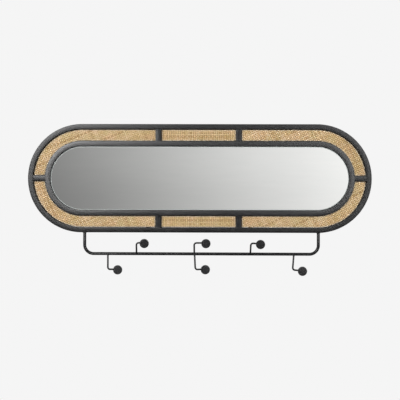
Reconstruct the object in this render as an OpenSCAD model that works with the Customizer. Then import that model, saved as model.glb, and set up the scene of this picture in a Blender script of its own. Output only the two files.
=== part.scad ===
// Wall mirror with a woven border and a rail of hooks.
// The wall is the plane Y = 0, the mirror faces -Y, X is to the right and Z is up.
// The origin is on the wall, midway between the two keyholes that the mirror hangs by.
// Every piece is drawn lying on its back, with Z away from the wall, and stand() raises it.

/* [Hoops] */
// Overall width of the mirror
frame_w = 1000; // [800:5:1200]
// Overall height of the outer hoop
frame_h = 316; // [280:1:380]
// Front width of the outer hoop's bar
hoop_w = 15; // [13:0.5:18]
// Front width of the inner hoop's bar
inner_w = 16; // [12:0.5:20]
// Width of the channel between the two hoops
channel_w = 34; // [26:0.5:42]
// Rounding of the bars' long edges
bar_round = 1; // [0.4:0.1:1.8]

/* [Spreader bars] */
// Front width of a spreader bar
spreader_w = 16; // [10:0.5:20]
// Distance between the two upper spreader bars, and between the two lower ones
spreader_pitch = 234; // [160:1:320]
// How far these four stand to the right of the middle, or to the left where negative
spreader_shift = -2; // [-15:0.5:15]

/* [Woven band] */
// Thickness of a woven panel
weave_t = 4; // [2:0.5:5]
// Gap between a woven panel and the bars round it
weave_gap = 0.8; // [0.4:0.1:2]

/* [Mirror glass] */
// How far the glass lies behind the front of the hoops
glass_recess = 3; // [2:0.5:8]
// Thickness of the glass
glass_t = 4; // [3:0.5:6]
// Gap between the glass and the inner hoop
glass_gap = 0.7; // [0.3:0.1:1.5]
// Width of the ground slope round the front of the glass
glass_slope = 1.8; // [0.5:0.1:3]
// Depth of this slope at the edge of the glass
glass_slope_t = 0.6; // [0.3:0.1:1.5]
// Thickness of the foam tape that holds the glass
tape_t = 3; // [0.5:0.1:4]
// Width of one strip of foam tape
tape_w = 12; // [8:1:25]
// Height of one strip of foam tape
tape_h = 130; // [80:5:160]
// Number of strips of foam tape
tape_count = 6; // [3:1:9]

/* [Back board] */
// Thickness of the back board
board_t = 5; // [3:0.5:8]
// Gap between the back board and the outer hoop
board_gap = 0.5; // [0.3:0.1:1.5]

/* [Turn buttons] */
// Width of a turn button
button_w = 12; // [9:0.5:14]
// Length of a turn button from its pivot to its tip
button_reach = 20; // [16:0.5:28]
// Thickness of a turn button
button_t = 1.2; // [0.8:0.1:1.6]
// Gap in front of a turn button and behind it
button_play = 0.3; // [0.2:0.05:0.4]
// Distance between the two upper turn buttons, and between the two lower ones
button_pitch = 300; // [200:5:380]
// Diameter of the pivot screw's shank
pivot_d = 4; // [3:0.5:5]
// Running gap round the pivot screw's shank
pivot_gap = 0.05; // [0.03:0.01:0.1]
// Diameter of the pivot screw's head
pivot_head_d = 7.5; // [6:0.5:10]
// Thickness of the pivot screw's head
pivot_head_t = 2.2; // [1.5:0.1:2.6]

/* [Hangers] */
// Distance between the two keyholes
hanger_pitch = 460; // [430:5:520]
// Overall length of a hanger
hanger_l = 60; // [56:1:70]
// Length of the raised middle of a hanger
hanger_mid_l = 28; // [22:1:32]
// Length that each sloping step of a hanger takes
hanger_step_l = 5; // [3:0.5:8]
// Height of a hanger's two ears
hanger_ear_h = 13; // [10:0.5:14]
// Thickness of a hanger's plate
hanger_t = 1.5; // [1:0.1:2]
// Room behind the plate for the head of the wall screw
head_room = 4.5; // [4.2:0.1:7]
// Diameter of a keyhole's round mouth
keyhole_d = 9; // [8:0.5:10]
// Width of a keyhole's slot
keyhole_slot_w = 4.5; // [4:0.1:4.8]
// Distance from the keyhole's mouth up to the end of its slot
keyhole_rise = 9; // [8:0.5:11]
// Plate left above the slot and below the mouth
keyhole_rim = 3; // [2:0.5:4]
// Distance from the top of the outer hoop down to the hanger's plate
hanger_set_in = 1; // [0.5:0.5:3]
// Diameter of a hanger screw's shank
hanger_screw_d = 3.2; // [2.5:0.1:4]
// Diameter of a hanger screw's head
hanger_head_d = 6.2; // [5:0.1:8]
// Thickness of a hanger screw's head
hanger_head_t = 1.6; // [1:0.1:2.4]

/* [Wall bumpers] */
// Diameter of a rubber bumper
bumper_d = 11; // [8:0.5:13]
// Distance between the two rubber bumpers
bumper_pitch = 600; // [440:10:640]

/* [Hook rail] */
// Diameter of the rail's rod
rail_d = 9; // [6:0.5:10]
// Distance between the rail's two uprights
rail_w = 681; // [600:1:690]
// Distance from the outer hoop down to the rail
rail_drop = 62; // [55:0.5:80]
// Radius of the rail's two corners, at the middle of the rod
rail_bend = 26; // [15:1:40]
// How far the rail sits to the right of the hoops' middle
rail_shift = 6; // [0:0.5:8]

/* [Hooks] */
// Diameter of the hooks' wire
wire_d = 5; // [3.5:0.5:6]
// Height of the upper hooks above the rail
upper_rise = 32; // [24:1:36]
// Depth of the lower hooks below the rail
lower_drop = 45; // [30:1:60]
// Usual distance from a hook's upright to its knob
hook_reach = 28; // [25:1:34]
// Distance that the knob stands in front of the hook's bend
hook_out = 25; // [20:1:36]
// Radius of the hook's bends, at the middle of the wire
hook_bend = 6.5; // [4:0.5:7]
// Forward splay of the hook's upright, in degrees
hook_splay = 2; // [0:1:12]
// Depth that a hook's wire is fused into the rail
weld_sink = 0.4; // [0.2:0.1:0.8]
// Distance from the rail's middle to the cut end of a hook's wire
wire_start = 0.3; // [0.2:0.1:1]
// Diameter of a knob
knob_d = 26.5; // [20:0.5:32]
// Thickness of a knob
knob_t = 3.2; // [2.6:0.1:5]
// Rounding of a knob's rim
knob_round = 1.2; // [0.5:0.1:1.3]

/* [Hidden] */
$fn = 96;

// Places of the hooks along the rail, as shares of half the rail's width
upper_place_shares = [-0.552, -0.059, 0.418];
lower_place_shares = [-0.797, -0.057, 0.788];
// Reach of each hook, as a share of the usual reach
upper_reach_shares = [0.91, 1.22, 0.91];
lower_reach_shares = [1.15, 1.04, 0.87];
// Small lean that each hook was welded with, in degrees, clockwise from the front
upper_lean = [-1, -1, 3];
lower_lean = [-0.5, -3, 4.8];

// Overrun of a cutting shape past the face that it cuts
overrun = 1;
// Depth of the screws' holes in the outer hoop
hole_depth = 8;
// Running gap round the hanger screws' shanks
screw_gap = 0.05;

black = "#2b2b2d";
cane = "#c2a273";
silver = "#c9ced0";
fibreboard = "#9a7650";
zinc = "#b5b7b8";
rubber = "#3a3a3a";
foam = "#e8e6de";

// Heights above the wall, from the back of the mirror to its front
back_z = hanger_t + head_room;
board_top_z = back_z + board_t;
glass_back_z = board_top_z + tape_t;
front_z = glass_back_z + glass_t + glass_recess;
hoop_depth = front_z - back_z;
inner_depth = front_z - board_top_z;

// Radii of the rounded ends
outer_r = frame_h / 2;
channel_outer_r = outer_r - hoop_w;
channel_inner_r = channel_outer_r - channel_w;
mirror_r = channel_inner_r - inner_w;
straight = frame_w - frame_h;
bar_mid_r = outer_r - hoop_w / 2;

// Turn buttons, which lie between the outer hoop's back and their screws' heads
button_top_z = back_z - button_play;
button_z = button_top_z - button_t;
pivot_head_top_z = button_z - button_play;
pivot_r = pivot_d / 2;
// Pivot place and turn of each turn button: its tip points along the turned +X
button_places = [
    [-button_pitch / 2, bar_mid_r, -90],
    [button_pitch / 2, bar_mid_r, -90],
    [-button_pitch / 2, -bar_mid_r, 90],
    [button_pitch / 2, -bar_mid_r, 90],
    [-straight / 2 - bar_mid_r, 0, 0],
    [straight / 2 + bar_mid_r, 0, 180]
];

// Hangers
hanger_top_y = outer_r - hanger_set_in;
slot_end_y = hanger_top_y - keyhole_rim - keyhole_slot_w / 2;
keyhole_y = slot_end_y - keyhole_rise;
hanger_bottom_y = keyhole_y - keyhole_d / 2 - keyhole_rim;
hanger_mid_x = hanger_mid_l / 2;
hanger_step_x = hanger_mid_x + hanger_step_l;
ear_screw_x = (hanger_step_x + hanger_l / 2) / 2;
fold = atan2(head_room, hanger_step_l);
fold_shift = hanger_t * tan(fold / 2);

// Rail and hooks
rail_r = rail_d / 2;
rail_y = -outer_r - rail_drop;
rail_z = back_z + hoop_depth / 2;
wire_r = wire_d / 2;
wire_z = rail_z + rail_r + wire_r - weld_sink;

// Unit vector along v
function unit(v) = v / norm(v);

// Angle by which a path turns at b
function turn_at(a, b, c) = acos(unit(b - a) * unit(c - b));

// Length that a bend of radius bend_r takes from each straight run at b
function set_back(a, b, c, bend_r) = bend_r * tan(turn_at(a, b, c) / 2);

// Height above the middle, at x, of a line that runs round the mirror at radius r
function line_y(x, r) = sqrt(pow(r, 2) - pow(max(abs(x) - straight / 2, 0), 2));

// Raises a piece that is drawn on its back, and hangs it below the origin
module stand() translate([0, 0, -keyhole_y]) rotate([90, 0, 0]) children();

// Solid outline with two straight sides and two round ends
module stadium(r) {
    square([straight, 2 * r], center = true);
    for (side = [-1, 1]) translate([side * straight / 2, 0]) circle(r = r);
}

// Sweeps a section round the stadium: its X runs outwards and its Y is the height
module stadium_sweep() {
    for (side = [-1, 1])
        translate([side * straight / 2, 0, 0])
            rotate([0, 0, -90 * side])
                rotate_extrude(angle = 180) children();
    for (side = [0, 1])
        mirror([0, side, 0])
            translate([-straight / 2, 0, 0])
                rotate([90, 0, 90])
                    linear_extrude(straight) children();
}

// Section of a bar with rounded edges, from corner to corner
module bar_section(low_x, low_y, high_x, high_y) {
    translate([low_x + bar_round, low_y])
        square([high_x - low_x - 2 * bar_round, high_y - low_y]);
    translate([low_x, low_y + bar_round])
        square([high_x - low_x, high_y - low_y - 2 * bar_round]);
    for (x = [low_x + bar_round, high_x - bar_round])
        for (y = [low_y + bar_round, high_y - bar_round])
            translate([x, y]) circle(r = bar_round);
}

// Ring between the two hoops, drawn in by a gap on both sides
module channel(gap) {
    difference() {
        stadium(channel_outer_r - gap);
        stadium(channel_inner_r + gap);
    }
}

// Straight stretch of round rod between two points
module rod_run(start, end, r) {
    run = end - start;
    translate(start)
        rotate([0, acos(run.z / norm(run)), atan2(run.y, run.x)])
            cylinder(h = norm(run), r = r);
}

// Round bend of a rod at corner b, on its way from a to c
module rod_bend(a, b, c, bend_r, r) {
    way_in = unit(b - a);
    way_out = unit(c - b);
    inward = unit(way_out - (way_out * way_in) * way_in);
    up = cross(way_in, inward);
    centre = b - set_back(a, b, c, bend_r) * way_in + bend_r * inward;
    multmatrix([
        [-inward.x, way_in.x, up.x, centre.x],
        [-inward.y, way_in.y, up.y, centre.y],
        [-inward.z, way_in.z, up.z, centre.z]
    ])
        rotate_extrude(angle = turn_at(a, b, c))
            translate([bend_r, 0]) circle(r = r);
}

// Round rod along corner points, bent to one radius at each inner corner
module bent_rod(points, bend_r, r) {
    last = len(points) - 1;
    for (i = [0 : last - 1]) {
        way = unit(points[i + 1] - points[i]);
        cut_a = i == 0 ? 0 : set_back(points[i - 1], points[i], points[i + 1], bend_r);
        cut_b = i == last - 1 ? 0 : set_back(points[i], points[i + 1], points[i + 2], bend_r);
        rod_run(points[i] + cut_a * way, points[i + 1] - cut_b * way, r);
    }
    for (i = [1 : last - 1])
        rod_bend(points[i - 1], points[i], points[i + 1], bend_r, r);
}

// Blind holes for the screws in the back of the outer hoop
module hoop_screw_holes() {
    for (place = button_places)
        translate([place.x, place.y, back_z - overrun])
            cylinder(h = hole_depth + overrun, r = pivot_r + pivot_gap);
    for (side = [-1, 1])
        for (ear = [-1, 1])
            translate([side * hanger_pitch / 2 + ear * ear_screw_x, bar_mid_r, back_z - overrun])
                cylinder(h = hole_depth + overrun, r = hanger_screw_d / 2 + screw_gap);
}

module outer_hoop() {
    color(black) stand()
        difference() {
            stadium_sweep() bar_section(channel_outer_r, back_z, outer_r, front_z);
            hoop_screw_holes();
        }
}

module inner_hoop() {
    color(black) stand()
        stadium_sweep() bar_section(mirror_r, board_top_z, channel_inner_r, front_z);
}

// Upright spreader bar between the hoops, above the middle
module upright_spreader(x) {
    translate([x, channel_outer_r, 0])
        rotate([90, 0, 0])
            linear_extrude(channel_w)
                bar_section(-spreader_w / 2, board_top_z, spreader_w / 2, front_z);
}

// Level spreader bar in the middle of the right end
module level_spreader() {
    intersection() {
        translate([straight / 2, 0, 0])
            rotate([90, 0, 90])
                linear_extrude(outer_r)
                    bar_section(-spreader_w / 2, board_top_z, spreader_w / 2, front_z);
        linear_extrude(front_z + overrun) channel(0);
    }
}

module spreader_top_left()
    color(black) stand() upright_spreader(spreader_shift - spreader_pitch / 2);

module spreader_top_right()
    color(black) stand() upright_spreader(spreader_shift + spreader_pitch / 2);

module spreader_bottom_left()
    color(black) stand()
        mirror([0, 1, 0]) upright_spreader(spreader_shift - spreader_pitch / 2);

module spreader_bottom_right()
    color(black) stand()
        mirror([0, 1, 0]) upright_spreader(spreader_shift + spreader_pitch / 2);

module spreader_end_left() color(black) stand() mirror([1, 0, 0]) level_spreader();

module spreader_end_right() color(black) stand() level_spreader();

// Woven panel between the two upper spreader bars
module middle_panel() {
    half = spreader_pitch / 2 - spreader_w / 2 - weave_gap;
    translate([spreader_shift - half, channel_inner_r + weave_gap, board_top_z])
        cube([2 * half, channel_w - 2 * weave_gap, weave_t]);
}

// Woven panel round the upper right quarter, with the upright spreader bars shifted
module quarter_panel(shift) {
    low_x = shift + spreader_pitch / 2 + spreader_w / 2 + weave_gap;
    low_y = spreader_w / 2 + weave_gap;
    translate([0, 0, board_top_z])
        linear_extrude(weave_t)
            intersection() {
                channel(weave_gap);
                translate([low_x, low_y]) square([frame_w, frame_h]);
            }
}

module woven_top_middle() color(cane) stand() middle_panel();

module woven_bottom_middle() color(cane) stand() mirror([0, 1, 0]) middle_panel();

module woven_top_right() color(cane) stand() quarter_panel(spreader_shift);

module woven_top_left()
    color(cane) stand() mirror([1, 0, 0]) quarter_panel(-spreader_shift);

module woven_bottom_right()
    color(cane) stand() mirror([0, 1, 0]) quarter_panel(spreader_shift);

module woven_bottom_left()
    color(cane) stand()
        mirror([1, 0, 0]) mirror([0, 1, 0]) quarter_panel(-spreader_shift);

// Glass pane with a narrow ground slope round its front
module mirror_glass() {
    glass_r = mirror_r - glass_gap;
    glass_top_z = glass_back_z + glass_t;
    color(silver) stand()
        stadium_sweep()
            polygon([
                [0, glass_back_z],
                [glass_r, glass_back_z],
                [glass_r, glass_top_z - glass_slope_t],
                [glass_r - glass_slope, glass_top_z],
                [0, glass_top_z]
            ]);
}

// Upright strips of double-sided foam tape between the glass and the board
module foam_tape() {
    pitch = straight / (tape_count - 1);
    color(foam) stand()
        for (i = [0 : tape_count - 1])
            translate([-straight / 2 + i * pitch - tape_w / 2, -tape_h / 2, board_top_z])
                cube([tape_w, tape_h, tape_t]);
}

module back_board() {
    color(fibreboard) stand()
        translate([0, 0, back_z])
            linear_extrude(board_t) stadium(channel_outer_r - board_gap);
}

// One turn button, drawn with its pivot at its place on the outer hoop
module turn_button(place) {
    color(zinc) stand()
        translate([place.x, place.y, button_z])
            rotate([0, 0, place.z])
                linear_extrude(button_t)
                    difference() {
                        union() {
                            circle(d = button_w);
                            translate([0, -button_w / 2])
                                square([button_reach - button_w / 2, button_w]);
                            translate([button_reach - button_w / 2, 0]) circle(d = button_w);
                        }
                        circle(r = pivot_r + pivot_gap);
                    }
}

module turn_button_top_left() turn_button(button_places[0]);

module turn_button_top_right() turn_button(button_places[1]);

module turn_button_bottom_left() turn_button(button_places[2]);

module turn_button_bottom_right() turn_button(button_places[3]);

module turn_button_end_left() turn_button(button_places[4]);

module turn_button_end_right() turn_button(button_places[5]);

// Pan-head screw that points away from the wall, with the top of its head at height z
module pan_screw(z, head_d, head_t, shank_d) {
    translate([0, 0, z - head_t]) cylinder(h = head_t, d = head_d);
    translate([0, 0, z - head_t]) cylinder(h = back_z + hole_depth - z + head_t, d = shank_d);
}

module turn_button_screws() {
    color(zinc) stand()
        for (place = button_places)
            translate([place.x, place.y, 0])
                pan_screw(pivot_head_top_z, pivot_head_d, pivot_head_t, pivot_d);
}

// Outline of a hanger seen from above: flat ears on the hoop and a raised middle on the wall
module hanger_section() {
    ear_z = back_z - hanger_t;
    end_x = hanger_l / 2;
    polygon([
        [-end_x, ear_z],
        [-hanger_step_x, ear_z],
        [-hanger_mid_x, 0],
        [hanger_mid_x, 0],
        [hanger_step_x, ear_z],
        [end_x, ear_z],
        [end_x, back_z],
        [hanger_step_x - fold_shift, back_z],
        [hanger_mid_x - fold_shift, hanger_t],
        [-hanger_mid_x + fold_shift, hanger_t],
        [-hanger_step_x + fold_shift, back_z],
        [-end_x, back_z]
    ]);
}

// One keyhole hanger, centred on x
module hanger(x) {
    color(zinc) stand()
        translate([x, 0, 0])
            difference() {
                union() {
                    translate([0, bar_mid_r + hanger_ear_h / 2, 0])
                        rotate([90, 0, 0])
                            linear_extrude(hanger_ear_h) hanger_section();
                    translate([-hanger_mid_x + fold_shift, hanger_bottom_y, 0])
                        cube([
                            hanger_mid_l - 2 * fold_shift,
                            hanger_top_y - hanger_bottom_y,
                            hanger_t
                        ]);
                }
                translate([0, keyhole_y, -overrun])
                    cylinder(h = hanger_t + 2 * overrun, d = keyhole_d);
                translate([0, slot_end_y, -overrun])
                    cylinder(h = hanger_t + 2 * overrun, d = keyhole_slot_w);
                translate([-keyhole_slot_w / 2, keyhole_y, -overrun])
                    cube([keyhole_slot_w, keyhole_rise, hanger_t + 2 * overrun]);
                for (ear = [-1, 1])
                    translate([ear * ear_screw_x, bar_mid_r, back_z - hanger_t - overrun])
                        cylinder(h = hanger_t + 2 * overrun, r = hanger_screw_d / 2 + screw_gap);
            }
}

module hanger_left() hanger(-hanger_pitch / 2);

module hanger_right() hanger(hanger_pitch / 2);

module hanger_screws() {
    color(zinc) stand()
        for (side = [-1, 1])
            for (ear = [-1, 1])
                translate([side * hanger_pitch / 2 + ear * ear_screw_x, bar_mid_r, 0])
                    pan_screw(back_z - hanger_t, hanger_head_d, hanger_head_t, hanger_screw_d);
}

module wall_bumpers() {
    color(rubber) stand()
        for (side = [-1, 1])
            translate([side * bumper_pitch / 2, -line_y(bumper_pitch / 2, bar_mid_r), 0])
                cylinder(h = back_z, d = bumper_d);
}

// Rod bent to a wide U, with its two ends cut to fit the underside of the outer hoop
module hook_rail() {
    left = rail_shift - rail_w / 2;
    right = rail_shift + rail_w / 2;
    color(black) stand()
        difference() {
            bent_rod([
                [left, -line_y(left, outer_r) + rail_d, rail_z],
                [left, rail_y, rail_z],
                [right, rail_y, rail_z],
                [right, -line_y(right, outer_r) + rail_d, rail_z]
            ], rail_bend, rail_r);
            linear_extrude(front_z) stadium(outer_r);
        }
}

// Corner points of a hook: up or down, to the right, then forward to its knob
function hook_points(up, height, reach) = [
    [0, up * wire_start, 0],
    [0, up * height, 0],
    [reach, up * height, 0],
    [reach, up * height, hook_out - knob_t / 2]
];

// Puts a hook on the front of the rail, with its sideways lean and its forward splay
module on_rail(up, place_share, lean) {
    translate([rail_shift + place_share * rail_w / 2, rail_y, wire_z])
        rotate([0, 0, -lean])
            rotate([up * hook_splay, 0, 0]) children();
}

// Wire of one hook, cut to fit the rail that it is welded to
module hook_wire(up, height, place_share, reach_share, lean) {
    color(black) stand()
        difference() {
            on_rail(up, place_share, lean)
                bent_rod(hook_points(up, height, hook_reach * reach_share), hook_bend, wire_r);
            translate([rail_shift - rail_w / 2, rail_y, rail_z])
                rotate([0, 90, 0]) cylinder(h = rail_w, r = rail_r);
        }
}

// Round knob on the end of one hook's wire
module hook_knob(up, height, place_share, reach_share, lean) {
    knob_r = knob_d / 2;
    color(black) stand()
        on_rail(up, place_share, lean)
            translate(hook_points(up, height, hook_reach * reach_share)[3])
                rotate_extrude() {
                    square([knob_r - knob_round, knob_t]);
                    translate([0, knob_round]) square([knob_r, knob_t - 2 * knob_round]);
                    translate([knob_r - knob_round, knob_round]) circle(r = knob_round);
                    translate([knob_r - knob_round, knob_t - knob_round]) circle(r = knob_round);
                }
}

module upper_wire(i)
    hook_wire(1, upper_rise, upper_place_shares[i], upper_reach_shares[i], upper_lean[i]);

module lower_wire(i)
    hook_wire(-1, lower_drop, lower_place_shares[i], lower_reach_shares[i], lower_lean[i]);

module upper_knob(i)
    hook_knob(1, upper_rise, upper_place_shares[i], upper_reach_shares[i], upper_lean[i]);

module lower_knob(i)
    hook_knob(-1, lower_drop, lower_place_shares[i], lower_reach_shares[i], lower_lean[i]);

module hook_wire_upper_left() upper_wire(0);

module hook_wire_upper_middle() upper_wire(1);

module hook_wire_upper_right() upper_wire(2);

module hook_wire_lower_left() lower_wire(0);

module hook_wire_lower_middle() lower_wire(1);

module hook_wire_lower_right() lower_wire(2);

module hook_knob_upper_left() upper_knob(0);

module hook_knob_upper_middle() upper_knob(1);

module hook_knob_upper_right() upper_knob(2);

module hook_knob_lower_left() lower_knob(0);

module hook_knob_lower_middle() lower_knob(1);

module hook_knob_lower_right() lower_knob(2);

outer_hoop();
inner_hoop();
spreader_top_left();
spreader_top_right();
spreader_bottom_left();
spreader_bottom_right();
spreader_end_left();
spreader_end_right();
woven_top_middle();
woven_bottom_middle();
woven_top_left();
woven_top_right();
woven_bottom_left();
woven_bottom_right();
mirror_glass();
foam_tape();
back_board();
turn_button_top_left();
turn_button_top_right();
turn_button_bottom_left();
turn_button_bottom_right();
turn_button_end_left();
turn_button_end_right();
turn_button_screws();
hanger_left();
hanger_right();
hanger_screws();
wall_bumpers();
hook_rail();
hook_wire_upper_left();
hook_wire_upper_middle();
hook_wire_upper_right();
hook_wire_lower_left();
hook_wire_lower_middle();
hook_wire_lower_right();
hook_knob_upper_left();
hook_knob_upper_middle();
hook_knob_upper_right();
hook_knob_lower_left();
hook_knob_lower_middle();
hook_knob_lower_right();
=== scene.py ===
# %% [markdown]
# # A wall mirror with a woven border and a rail of hooks
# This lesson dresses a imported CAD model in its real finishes: black powder-coated steel, woven cane,
# silvered glass and fibreboard. The CAD model gives every place and size. A piece is modelled again where
# the real one has rounded, woven or welded detail that a plain solid lacks, and it stays the CAD solid
# where only its edges and its finish are missing.

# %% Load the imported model
import math
import random

import bmesh
import bpy
from bmesh.types import BMEdge, BMVert
from mathutils import Matrix, Vector, noise


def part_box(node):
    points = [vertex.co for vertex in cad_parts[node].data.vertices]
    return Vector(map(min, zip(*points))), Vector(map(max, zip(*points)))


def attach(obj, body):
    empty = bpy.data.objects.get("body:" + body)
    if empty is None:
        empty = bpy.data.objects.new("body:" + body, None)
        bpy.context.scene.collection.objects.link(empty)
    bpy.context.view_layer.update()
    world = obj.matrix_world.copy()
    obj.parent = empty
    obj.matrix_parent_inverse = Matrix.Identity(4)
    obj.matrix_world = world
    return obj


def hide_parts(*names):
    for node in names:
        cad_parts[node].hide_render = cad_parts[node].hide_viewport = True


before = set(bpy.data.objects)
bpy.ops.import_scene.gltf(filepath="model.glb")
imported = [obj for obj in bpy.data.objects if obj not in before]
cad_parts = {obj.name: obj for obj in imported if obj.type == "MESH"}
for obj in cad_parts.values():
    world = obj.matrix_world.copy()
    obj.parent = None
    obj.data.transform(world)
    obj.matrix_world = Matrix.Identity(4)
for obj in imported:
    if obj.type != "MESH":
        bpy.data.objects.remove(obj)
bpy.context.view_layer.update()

# %% [markdown]
# ## The camera
# The photograph looks straight at the mirror from a little below its middle. The outline of the outer
# hoop, its spreader bars and the line of the rail gave the distance, the lens and the small turns.

# %% Place the camera
CAMERA_PLACE = (0.0189, -1.7, -0.2317)
PAN, TILT, ROLL = (math.radians(angle) for angle in (0.576, 0.881, 0.149))

camera_data = bpy.data.cameras.new("camera")
camera_data.sensor_width = 36
camera_data.lens = 52.02
camera = bpy.data.objects.new("camera", camera_data)
camera.matrix_world = (
    Matrix.Translation(CAMERA_PLACE)
    @ Matrix.Rotation(PAN, 4, "Z")
    @ Matrix.Rotation(math.pi / 2 + TILT, 4, "X")
    @ Matrix.Rotation(ROLL, 4, "Z")
)
bpy.context.scene.collection.objects.link(camera)
bpy.context.scene.camera = camera
bpy.context.scene.view_settings.view_transform = "Standard"
print("camera at", CAMERA_PLACE, "with a lens of", round(camera_data.lens, 2), "mm")

# %% [markdown]
# ## Helpers for materials
# Colours are written as the sRGB hex values that a paint program shows, and shaders want linear light, so
# one function turns them. A second one adds a node with its settings and links, so that a node tree reads
# like a recipe: an input may be a value, another node's output, or a whole node, whose first output is
# then meant. The Principled shader comes last, when all that it is linked to is there.

# %% Turn colours and add nodes
def linear(hex_colour):
    """The linear colour, with alpha, of an sRGB hex value."""
    parts = [int(hex_colour[i:i + 2], 16) / 255 for i in (1, 3, 5)]
    return tuple(c / 12.92 if c <= 0.04045 else ((c + 0.055) / 1.055) ** 2.4 for c in parts) + (1.0,)


def add_node(tree, kind, inputs=None, settings=None, stops=None):
    """Adds a node with its inputs, its own settings and, for a colour ramp, its colours by position."""
    node = tree.nodes.new("ShaderNode" + kind)
    for name, value in (settings or {}).items():
        setattr(node, name, value)
    for socket, value in (inputs or {}).items():
        source = value.outputs[0] if isinstance(value, bpy.types.Node) else value
        if isinstance(source, bpy.types.NodeSocket):
            tree.links.new(source, node.inputs[socket])
        else:
            node.inputs[socket].default_value = source
    for i, (position, colour) in enumerate((stops or {}).items()):
        spots = node.color_ramp.elements
        spot = spots[i] if i < 2 else spots.new(position)
        spot.position = position
        spot.color = linear(colour) if isinstance(colour, str) else colour
    return node


def start_material(name):
    """A new material with an empty node tree, and its Object coordinates."""
    material = bpy.data.materials.new(name)
    material.use_nodes = True
    tree = material.node_tree
    tree.nodes.clear()
    return material, tree, add_node(tree, "TexCoord").outputs["Object"]


def finish_material(tree, inputs):
    """Adds the Principled shader, with constants on its own sockets and the rest linked, and the output."""
    shader = add_node(tree, "BsdfPrincipled", inputs)
    add_node(tree, "OutputMaterial", {"Surface": shader})


def per_metre(millimetres):
    """Scale of a noise texture whose spots are about that many millimetres wide."""
    return 1000 / millimetres


# A Mix node has sockets for each kind of data, and its colour sockets only have numbers of their own.
MIX_A, MIX_B, MIXED = 6, 7, 2
MIX, MULTIPLY = {"data_type": "RGBA"}, {"data_type": "RGBA", "blend_type": "MULTIPLY"}
SMOOTH = {"interpolation_type": "SMOOTHSTEP"}
print("a mid grey is", round(linear("#808080")[0], 3), "in linear light")

# %% [markdown]
# ## Black powder coat on welded steel
# The hoops, spreader bars, rail and hooks are mild steel, sprayed with dry powder that melts and flows in
# an oven. The melted film gives the eye a dark satin with soft, wide highlights. Up close it has a shallow
# orange peel of about a millimetre, and its gloss drifts a little from place to place. The photograph
# shows the inner hoop a shade shinier than the outer one, so it has a coat of its own. The knobs have one
# too, since their thinner coat looks a shade greyer.

# %% Powder coat
def make_coat(name, shine, dark="#0a0a0b", pale="#0f0f10"):
    """Black powder coat: shine is how much of the light in front of it the melted film gives back."""
    coat, tree, place = start_material(name)
    drift = add_node(tree, "TexNoise", {"Vector": place, "Scale": per_metre(60), "Detail": 3.0})
    tone = add_node(tree, "ValToRGB", {"Fac": drift}, stops={0.3: dark, 0.7: pale})
    gloss = add_node(tree, "MapRange", {
        "Value": drift, "From Min": 0.3, "From Max": 0.7, "To Min": 0.35, "To Max": 0.39})
    # Real waves are about 1.2 mm wide and a few hundredths of a millimetre high, and drawn 1.6 mm wide.
    peel = add_node(tree, "TexNoise", {"Vector": place, "Scale": per_metre(1.6), "Detail": 1.0})
    peel_bump = add_node(tree, "Bump", {"Strength": 0.2, "Distance": 0.00004, "Height": peel})
    finish_material(tree, {
        "Specular IOR Level": shine, "Base Color": tone, "Roughness": gloss, "Normal": peel_bump})
    return coat


powder_coat = make_coat("powder_coat_on_steel_tube", 0.4)
inner_coat = make_coat("powder_coat_on_flat_bar", 0.62)
knob_coat = make_coat("powder_coat_on_turned_disc", 0.3, "#1f1f20", "#252526")
print("made", powder_coat.name, inner_coat.name, "and", knob_coat.name)

# %% [markdown]
# ## The bench and the wall
# A maker builds this frame lying on a bench, and the pieces are drawn that way too: in millimetres, with X
# to the right, Y up the mirror and Z away from the wall. One matrix then scales a finished mesh to metres,
# stands it up and hangs it in its place, so that every object stays at the origin, unturned.

# %% Hang a finished piece
BODY = "mirror"
hoop_low, hoop_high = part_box("outer_hoop")
MIDDLE_HEIGHT = (hoop_low.z + hoop_high.z) / 2
HANG = (
    Matrix.Translation((0, 0, MIDDLE_HEIGHT))
    @ Matrix.Rotation(math.pi / 2, 4, "X")
    @ Matrix.Scale(0.001, 4)
)


def bench_box(node):
    """Lowest and highest corner of a CAD node, in millimetres on the bench."""
    one, other = (HANG.inverted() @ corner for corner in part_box(node))
    return Vector(map(min, one, other)), Vector(map(max, one, other))


def add_object(name, bm, materials=()):
    """Turns a bmesh into a mesh object in the scene."""
    mesh = bpy.data.meshes.new(name)
    bm.to_mesh(mesh)
    bm.free()
    for material in materials:
        mesh.materials.append(material)
    added = bpy.data.objects.new(name, mesh)
    bpy.context.scene.collection.objects.link(added)
    return added


def hang(name, bm, materials, nodes, crease=35):
    """Turns a bench mesh into a finished piece that stands for the CAD nodes."""
    bmesh.ops.transform(bm, matrix=HANG, verts=bm.verts)
    piece = add_object(name, bm, materials)
    piece.data.shade_smooth()
    piece.data.set_sharp_from_angle(angle=math.radians(crease))
    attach(piece, BODY)
    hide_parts(*nodes)
    return piece


print("the middle of the hoops hangs", round(1000 * MIDDLE_HEIGHT, 2), "mm from the keyholes' height")

# %% [markdown]
# ## Helpers for shapes
# Blender's mesh operators do the modelling. The ones that this object needs again and again get a short
# name here, with the settings that stay the same.

# %% Pick, bevel, spin and draw out
MERGE = 0.01


def picked(geom, kind):
    """The vertices, edges or faces among an operator's results."""
    return [part for part in geom if isinstance(part, kind)]


def round_off(bm, geom, size, segments, affect="EDGES", clamp=False):
    """Bevels edges, or the corners of a flat outline."""
    bmesh.ops.bevel(
        bm, geom=geom, offset=size, offset_type="OFFSET", segments=segments, profile=0.5, affect=affect,
        material=-1, clamp_overlap=clamp)


def spin(bm, geom, centre, axis, angle, steps, whole=False):
    """Spins edges or vertices round an axis, and gives what lies at the last step."""
    return bmesh.ops.spin(
        bm, geom=geom, cent=centre, axis=axis, dvec=(0, 0, 0), angle=angle, steps=steps, use_merge=whole,
        use_duplicate=False)["geom_last"]


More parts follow.
